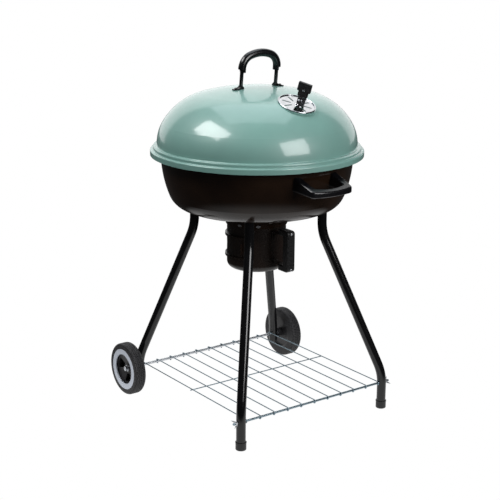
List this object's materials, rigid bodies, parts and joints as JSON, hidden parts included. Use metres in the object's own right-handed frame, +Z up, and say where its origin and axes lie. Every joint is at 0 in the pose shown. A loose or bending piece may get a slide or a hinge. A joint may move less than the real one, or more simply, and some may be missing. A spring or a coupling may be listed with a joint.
{
  "type": "kettle charcoal grill",
  "caption": "Kettle charcoal grill: round bowl and domed lid on bent tube legs, with wheels at the rear, a wire rack below and an ash can with a handle.",
  "frame": {"origin": "on the floor, under the middle of the grill's overall box", "axes": "+Z up; X along the wheel axle; +Y towards the wheels, -Y towards the bowl handle and the ash can handle"},
  "size_m": [0.596, 0.6467, 0.9975],
  "materials": {
    "lid_enamel": "glossy pale green porcelain enamel",
    "bowl_enamel": "glossy black porcelain enamel",
    "can_enamel": "satin black enamel with a brown cast",
    "leg_paint": "glossy black paint",
    "black_gloss_plastic": "glossy black moulded plastic",
    "black_plastic": "satin black moulded plastic",
    "hub_plastic": "dark grey moulded plastic",
    "white_plastic": "white moulded plastic",
    "tyre_rubber": "black rubber",
    "zinc_steel": "bright zinc plating",
    "spring_steel": "bare spring steel",
    "rack_wire": "bluish zinc plated wire",
    "vent_chrome": "chrome plate",
    "grate_steel": "plated steel wire"
  },
  "bodies": {
    "frame": {"bowl_shell": "bowl_enamel", "bowl_handle": "black_gloss_plastic", "bowl_handle_screws": "zinc_steel", "cooking_grate_supports": "bowl_enamel", "charcoal_grate_supports": "bowl_enamel", "can_collar": "bowl_enamel", "can_clips": "spring_steel", "can_clip_rivets": "zinc_steel", "leg_front_left": "leg_paint", "leg_front_right": "leg_paint", "leg_rear_left": "leg_paint", "leg_rear_right": "leg_paint", "leg_top_plugs": "leg_paint", "leg_top_bolts": "zinc_steel", "foot_cap_left": "black_plastic", "foot_cap_right": "black_plastic", "rear_leg_plugs": "black_plastic", "axle": "zinc_steel", "axle_washers": "zinc_steel", "axle_nuts": "zinc_steel", "rack_grid": "rack_wire", "rack_front_rod": "rack_wire", "wing_nuts": "zinc_steel"},
    "lid": {"lid_shell": "lid_enamel", "lid_handle_rod": "leg_paint", "lid_grip_outer": "black_gloss_plastic", "lid_grip_inner": "black_gloss_plastic", "lid_handle_bolts": "leg_paint", "lid_handle_nuts": "zinc_steel"},
    "vent": {"vent_damper": "vent_chrome", "vent_tab_strap": "vent_chrome", "vent_tab_grip": "black_plastic", "vent_tab_stud": "zinc_steel", "vent_rivet": "vent_chrome"},
    "cooking_grate": {"cooking_grate": "grate_steel"},
    "charcoal_grate": {"charcoal_grate": "grate_steel"},
    "ash_can": {"ash_can": "can_enamel", "can_rails": "can_enamel", "ash_handle_brackets": "can_enamel", "ash_handle_rivets": "can_enamel", "ash_handle_grip": "black_plastic", "ash_handle_screws": "zinc_steel"},
    "air_slider": {"air_slider": "can_enamel"},
    "wheel_left": {"tyre_left": "tyre_rubber", "wheel_ring_left": "white_plastic", "wheel_hub_left": "hub_plastic"},
    "wheel_right": {"tyre_right": "tyre_rubber", "wheel_ring_right": "white_plastic", "wheel_hub_right": "hub_plastic"}
  },
  "joints": [
    {"name": "lid_lift", "type": "slide", "parent": "frame", "child": "lid", "axis": [0, 0, 1], "range_m": [0, 0.4]},
    {"name": "vent_turn", "type": "hinge", "parent": "lid", "child": "vent", "pos_m": [0, -0.16031, 0.8679], "axis": [0, -0.3584, 0.9336], "continuous": true},
    {"name": "cooking_grate_lift", "type": "slide", "parent": "frame", "child": "cooking_grate", "axis": [0, 0, 1], "range_m": [0, 0.03]},
    {"name": "charcoal_grate_lift", "type": "slide", "parent": "frame", "child": "charcoal_grate", "axis": [0, 0, 1], "range_m": [0, 0.07]},
    {"name": "ash_can_drop", "type": "slide", "parent": "frame", "child": "ash_can", "axis": [0, 0, -1], "range_m": [0, 0.15]},
    {"name": "air_slide", "type": "hinge", "parent": "ash_can", "child": "air_slider", "pos_m": [0, 0.01085, 0.461], "axis": [0, 0, -1], "range_deg": [0, 52]},
    {"name": "wheel_left_turn", "type": "hinge", "parent": "frame", "child": "wheel_left", "pos_m": [-0.2815, 0.24835, 0.075], "axis": [1, 0, 0], "continuous": true},
    {"name": "wheel_right_turn", "type": "hinge", "parent": "frame", "child": "wheel_right", "pos_m": [0.2815, 0.24835, 0.075], "axis": [1, 0, 0], "continuous": true}
  ]
}
